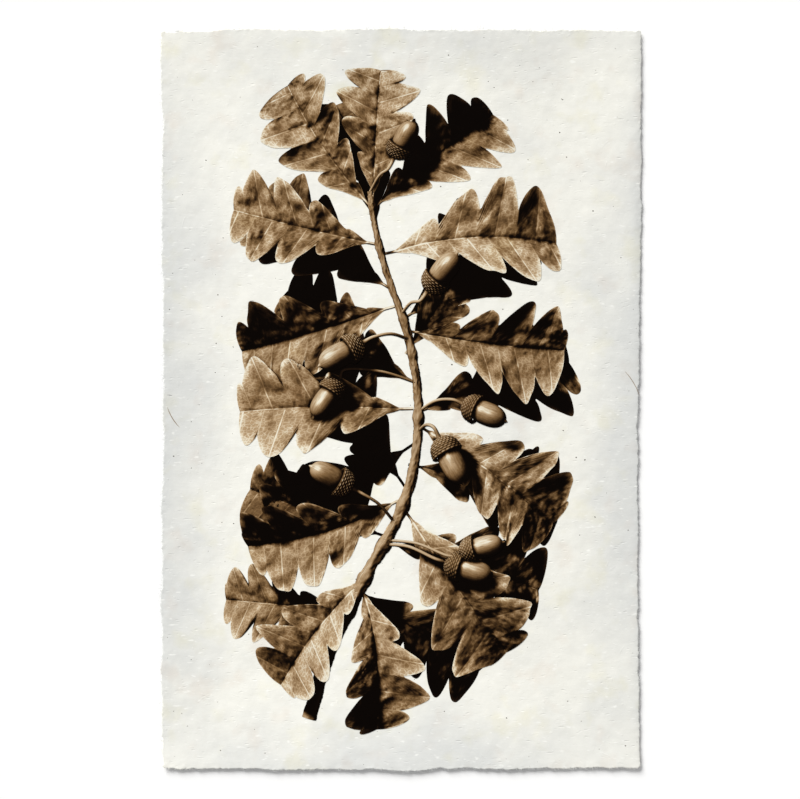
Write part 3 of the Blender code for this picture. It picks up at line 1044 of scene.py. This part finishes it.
made_finer = [(leaves, 3, 4), (nuts, 2, 3), (cups, 2, 2), (twig, 3, 2), (stalks, 4, 2)]
cloud_of_points = np.vstack([densify(*family) for family in made_finer])
LIGHT_BASIS = facing(LIGHT_DIRECTION)
lowest, highest = cloud_of_points[:, 2].min(), cloud_of_points[:, 2].max()
BEHIND = lowest - 25.0
open_depths = depth_map(cloud_of_points, VIEW_BASIS, VIEW_CELL, BEHIND)
view_depths = close_gaps(open_depths)
light_depths = close_gaps(depth_map(cloud_of_points, LIGHT_BASIS, SHADE_CELL, -MAP_REACH))
blurred_depths = {radius: blur(view_depths, radius / VIEW_CELL) for radius in HOLLOW_STRENGTHS}
print(f"{len(cloud_of_points)} points mapped, depths {lowest:.0f} to {highest:.0f} mm")

# %% [markdown]
# Each point's tone is 0 for full ink and 1 for bare paper. The key light from the upper left, cut by the
# shadow map, draws the forms. A weaker sky light, cut by the hollows, keeps the shadows open, and nuts
# have a gloss.

# %% Expose the sprig
KEY_LIGHT = 0.98
SKY_LIGHT = 0.30
RIM_LIGHT = 0.12
LEAF_PALENESS, TWIG_PALENESS, STALK_PALENESS = 0.66, 0.60, 0.70
NUT_PALENESS, NUT_GLOSS, GLOSS_POWER = 0.64, 0.8, 50
CUP_PALENESS, SCALE_PALENESS = 0.38, 0.50
SHADOW_BIAS = 2.6
PRINT_GAIN = 1.90
PRINT_SPEED = 1.35
PRINT_BLACK = 0.51


def grid_normals(grids):
    """The directions that the surfaces face, turned towards the viewer."""
    normals = np.cross(np.gradient(grids, axis=2), np.gradient(grids, axis=1))
    normals /= np.linalg.norm(normals, axis=-1, keepdims=True) + 1e-9
    return normals * np.where(normals[..., 2:] < 0, -1, 1)


def lit_share(grids, normals):
    """The share of 25 near cells of the light's map in which nothing stands before the point."""
    seen = (grids + 1.2 * normals) @ LIGHT_BASIS.T
    column, row = map_cells(seen, SHADE_CELL)
    taps = [(down, across) for down in range(-2, 3) for across in range(-2, 3)]
    lit = sum(light_depths[row + down, column + across] < seen[..., 2] + SHADOW_BIAS for down, across in taps)
    return lit / len(taps)


def hollow_share(grids):
    """How deep each point lies below its blurred surroundings, near and far together."""
    column, row = map_cells(grids, VIEW_CELL)
    open_share = 1.0
    for radius, strength in HOLLOW_STRENGTHS.items():
        below = (blurred_depths[radius][row, column] - grids[..., 2]) / (0.8 * radius + 2)
        open_share = open_share * (1 - strength * np.clip(below, 0, 1))
    return 1 - open_share


def rim_share(grids):
    """How far each point stands before its near surroundings, as a leaf's front margin does."""
    column, row = map_cells(grids, VIEW_CELL)
    return np.clip((grids[..., 2] - blurred_depths[4][row, column]) / 9, 0, 1)


def expose(grids, pale, gloss=0.0):
    normals = grid_normals(grids)
    towards = LIGHT_BASIS[2]
    facing_light = np.clip(normals @ towards, 0, 1)
    half_way = towards + (0.0, 0.0, 1.0)
    half_way /= np.linalg.norm(half_way)
    shine = gloss * np.clip(normals @ half_way, 0, 1) ** GLOSS_POWER
    lit = lit_share(grids, normals)
    sky = SKY_LIGHT * (1 - hollow_share(grids)) * (0.35 + 0.65 * normals[..., 2])
    light = pale * (sky + KEY_LIGHT * lit * facing_light + RIM_LIGHT * rim_share(grids)) + shine * lit
    return np.clip(PRINT_GAIN * (1 - np.exp(-PRINT_SPEED * light)) - PRINT_BLACK, 0, 0.97)


leaf_x, leaf_y = leaf_detail[..., 2] * 200, leaf_detail[..., 1]
seeds = np.arange(len(LEAVES))
blotches = 1 + 0.08 * wobble(soft_field, leaf_x, leaf_y, seeds + 40)
blotches = blotches + 0.05 * wobble(speck_field, leaf_x, leaf_y, seeds + 80)
margin_light = 1 + 0.45 * np.linspace(-1, 1, LEAF_COLUMNS) ** 14
leaf_tone = expose(leaves, LEAF_PALENESS * LEAVES[:, 8][:, None, None] * blotches * margin_light)
acorn_pale = ACORNS[:, 6][:, None, None]
nut_tone = expose(nuts, NUT_PALENESS * acorn_pale, gloss=NUT_GLOSS)
cup_tone = expose(cups, (CUP_PALENESS + SCALE_PALENESS * cup_detail[..., 2]) * acorn_pale)
twig_tone = expose(twig, TWIG_PALENESS)
stalk_tone = expose(stalks, STALK_PALENESS)
print(f"leaf tone {np.percentile(leaf_tone, [5, 25, 50, 75, 95]).round(2)}")

# %% [markdown]
# The ink is a thin film on the paper. It repeats the paper's own colour and bump, so that the fibres and
# felt marks show through, and multiplies them by a brown ramp. The mesh carries the broad tones, and the
# material adds what is finer: the leaf's veins and their net, streaks along a nut, and the print's grain.

# %% Ink
INK_RAMP = (
    (0.00, (6, 2, 0)), (0.10, (26, 14, 6)), (0.26, (76, 53, 29)), (0.48, (138, 107, 73)),
    (0.70, (196, 167, 134)), (0.90, (240, 226, 204)), (1.00, (250, 244, 232)),
)
VEIN_SPACING = 36.0


def ink_material(name, fine_detail):
    """Ink over paper. The fine detail changes the tone with nodes of its own before it is coloured."""
    material, tree, shader = new_material(name, 0.95)
    place = add(tree, "TexCoord", out="Object")
    tone = add(tree, "Attribute", attribute_name="tone", out=2)
    detail = add(tree, "Attribute", attribute_name="detail", out=1)
    tone = fine_detail(tree, tone, detail)
    grain = minus(tree, noise(tree, place, 900, 3, 0.7), 0.5)
    tone = plus(tree, tone, times(tree, grain, 0.10), clamp=True)
    brown = add(tree, "ValToRGB", {"Fac": tone})
    ramp = brown.node.color_ramp
    ramp.elements[0].color = sepia(*INK_RAMP[0][1])
    ramp.elements[1].color = sepia(*INK_RAMP[-1][1])
    for position, colour in INK_RAMP[1:-1]:
        ramp.elements.new(position).color = sepia(*colour)
    colour = mix_colour(tree, 1.0, paper_colour(tree, place), brown, "MULTIPLY")
    tree.links.new(colour, shader.inputs["Base Color"])
    tree.links.new(paper_bump(tree, place), shader.inputs["Normal"])
    shader.inputs["Specular IOR Level"].default_value = 0.05
    return material


def line_mask(tree, distance, width):
    """1 on a line, falling to 0 at the width from it."""
    return minus(tree, 1.0, over(tree, distance, width), clamp=True)


def side_veins(tree, phase, width, strength):
    """Lines of the strength where the phase is a whole number."""
    gap = times(tree, maths(tree, "PINGPONG", phase, 0.5), VEIN_SPACING)
    return times(tree, line_mask(tree, gap, width), strength)


def leaf_veins(tree, tone, detail):
    """Light lines along the midrib and to each lobe, and a net of fine ones between them."""
    phase, across, share = split(tree, detail)
    taper = minus(tree, 1.9, times(tree, share, 1.3))
    midrib = line_mask(tree, maths(tree, "ABSOLUTE", across), taper)
    side = side_veins(tree, phase, 0.95, 0.8)
    half = side_veins(tree, plus(tree, phase, 0.5), 0.6, 0.4)
    along = times(tree, phase, VEIN_SPACING)
    flat = add(tree, "CombineXYZ", {0: along, 1: across})
    mesh_edge = add(
        tree, "TexVoronoi", {"Vector": flat, "Scale": 0.22, "Randomness": 0.9},
        feature="DISTANCE_TO_EDGE", out="Distance")
    net = times(tree, line_mask(tree, mesh_edge, 0.12), 0.30)
    lines = maths(tree, "MAXIMUM", maths(tree, "MAXIMUM", midrib, side), maths(tree, "MAXIMUM", half, net))
    lift = plus(tree, 0.93, times(tree, lines, 0.75))
    return times(tree, tone, lift)


def fine_streaks(tree, tone, detail):
    """Narrow light and dark streaks along the second of the detail's two lengths."""
    drawn_out = add(tree, "Mapping", {"Vector": detail, "Scale": (0.9, 0.06, 0.0)})
    streaks = minus(tree, noise(tree, drawn_out, 1.0, 3, 0.6), 0.5)
    return times(tree, tone, plus(tree, 1.0, times(tree, streaks, 0.7)))


leaf_ink = ink_material("leaf_ink", leaf_veins)
streaked_ink = ink_material("streaked_ink", fine_streaks)
print(f"{len(INK_RAMP)} stops in the ink's ramp")

# %% [markdown]
# Now the model is pressed flat. A face of a grid is kept if any of its corners can be seen. The kept faces
# lie a tenth of a millimetre over the paper, and what is left of their depth, under half a millimetre from
# back to front, keeps the nearer leaf on top of the farther one.

# %% Press the sprig into the paper
FILM_LIFT = 0.11 * MM
FILM_DEPTH = 0.45 * MM
SEEN_SLACK = 4.0
SEEN_REACH = 4

farthest_near = open_depths
for _ in range(SEEN_REACH):
    farthest_near = np.min(nine_near(farthest_near), axis=0)


def seen_points(grids):
    """Whether each point lies no deeper than the farthest of the cells of the depth map round it, so
    that a face which shows in part is kept whole."""
    column, row = map_cells(grids, VIEW_CELL)
    return grids[..., 2] > farthest_near[row, column] - SEEN_SLACK


def atlas(count, rows, columns, cells_across, cells_down):
    """A place of its own in a texture for each grid: a cell of the atlas, with a small gap round it."""
    number = np.arange(count)
    corner = np.stack([number % cells_across, number // cells_across], axis=-1)[:, None, None]
    across, down = np.meshgrid(np.linspace(0.03, 0.97, rows), np.linspace(0.03, 0.97, columns), indexing="ij")
    return (corner + np.stack([across, down], axis=-1)[None]) / (cells_across, cells_down)


def print_piece(name, families, material, cells=None):
    """A film of ink from families of grids, each with its tones and details."""
    points, faces, tones, details, places, start = [], [], [], [], [], 0
    for family, (grids, tone, detail) in enumerate(families):
        flat, quads = many_grids(grids)
        seen = seen_points(grids).ravel()
        quads = quads[seen[quads].any(axis=1)]
        points.append(flat)
        faces.append(quads + start)
        tones.append(np.broadcast_to(tone, grids.shape[:3]).ravel())
        details.append(np.broadcast_to(detail, grids.shape).reshape(-1, 3))
        if cells:
            both = atlas(len(grids) * len(families), *grids.shape[1:3], *cells)
            places.append(both[len(grids) * family:][:len(grids)].reshape(-1, 2))
        start += len(flat)
    points, faces = np.vstack(points), np.vstack(faces)
    used, faces = np.unique(faces, return_inverse=True)
    faces = faces.reshape(-1, 4)
    model = points[used]
    film = model * MM
    depth = (model[:, 2] - lowest) / (highest - lowest)
    film[:, 2] = paper_top(film[:, 0], film[:, 1]) + FILM_LIFT + FILM_DEPTH * depth
    piece = make_piece(name, film, faces, material)
    set_attribute(piece, "tone", np.concatenate(tones)[used])
    set_attribute(piece, "detail", np.vstack(details)[used])
    if cells:
        layer = piece.data.uv_layers.new(name="OFBake")
        layer.data.foreach_set("uv", np.vstack(places)[used][faces.ravel()].ravel())
    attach(piece, "root")


leaf_parts = {"printed_leaves": slice(FRONT_LEAVES), "printed_back_leaves": slice(FRONT_LEAVES, None)}
for name, part in leaf_parts.items():
    print_piece(name, [(leaves[part], leaf_tone[part], leaf_detail[part])], leaf_ink, (3, 5))
acorn_families = [(nuts, nut_tone, nut_detail), (cups, cup_tone, cup_detail)]
print_piece("printed_acorns", acorn_families, streaked_ink, (3, 6))
twig_families = [(twig, twig_tone, twig_detail), (stalks, stalk_tone, stalk_detail)]
print_piece("printed_twig", twig_families, streaked_ink)

# %% [markdown]
# The ridges of fibre in the face come last, because they stay clear of the film of ink: a ridge is left
# out where the sprig's depth map shows something under it.

# %% Ridges of fibre in the face
RIDGE_COUNT = 1700
RIDGE_SINK = 0.05 * MM
RIDGE_STEEPNESS = 0.09
RIDGE_TOP = 0.18 * MM
STRAY_SHARE = 0.3

ridge_starts = fibre_rng.uniform(-1, 1, (RIDGE_COUNT, 2)) * (HALF - 8 * MM)
ridge_headings = fibre_rng.normal(0, 0.30, RIDGE_COUNT)
strays = fibre_rng.uniform(0, 1, RIDGE_COUNT) < STRAY_SHARE
ridge_headings = np.where(strays, fibre_rng.uniform(0, math.pi, RIDGE_COUNT), ridge_headings)
ridge_bends = fibre_rng.normal(0, 0.8, RIDGE_COUNT)
ridge_lengths = np.clip(fibre_rng.lognormal(1.7, 0.55, RIDGE_COUNT), 2.2, 20) * MM
ridge_widths = fibre_rng.uniform(0.7, 2.8, RIDGE_COUNT) * MM
x, y = strands(ridge_starts, ridge_headings, ridge_bends, ridge_lengths, ridge_widths, 8)
places = np.stack([x, y], axis=-1)
column, row = map_cells(places / MM, VIEW_CELL)
inked = (view_depths[row, column] > BEHIND).any(axis=(1, 2))
in_paper = (np.abs(places) < HALF - 5 * MM).all(axis=(1, 2, 3))
kept = in_paper & ~inked
x, y, ridge_widths = x[kept], y[kept], ridge_widths[kept]
z = paper_top(x, y) - RIDGE_SINK
z[:, 1:-1, 1] += np.minimum(RIDGE_STEEPNESS * ridge_widths, RIDGE_TOP)[:, None] + RIDGE_SINK
make_strands("face_fibres", x, y, z, paper)
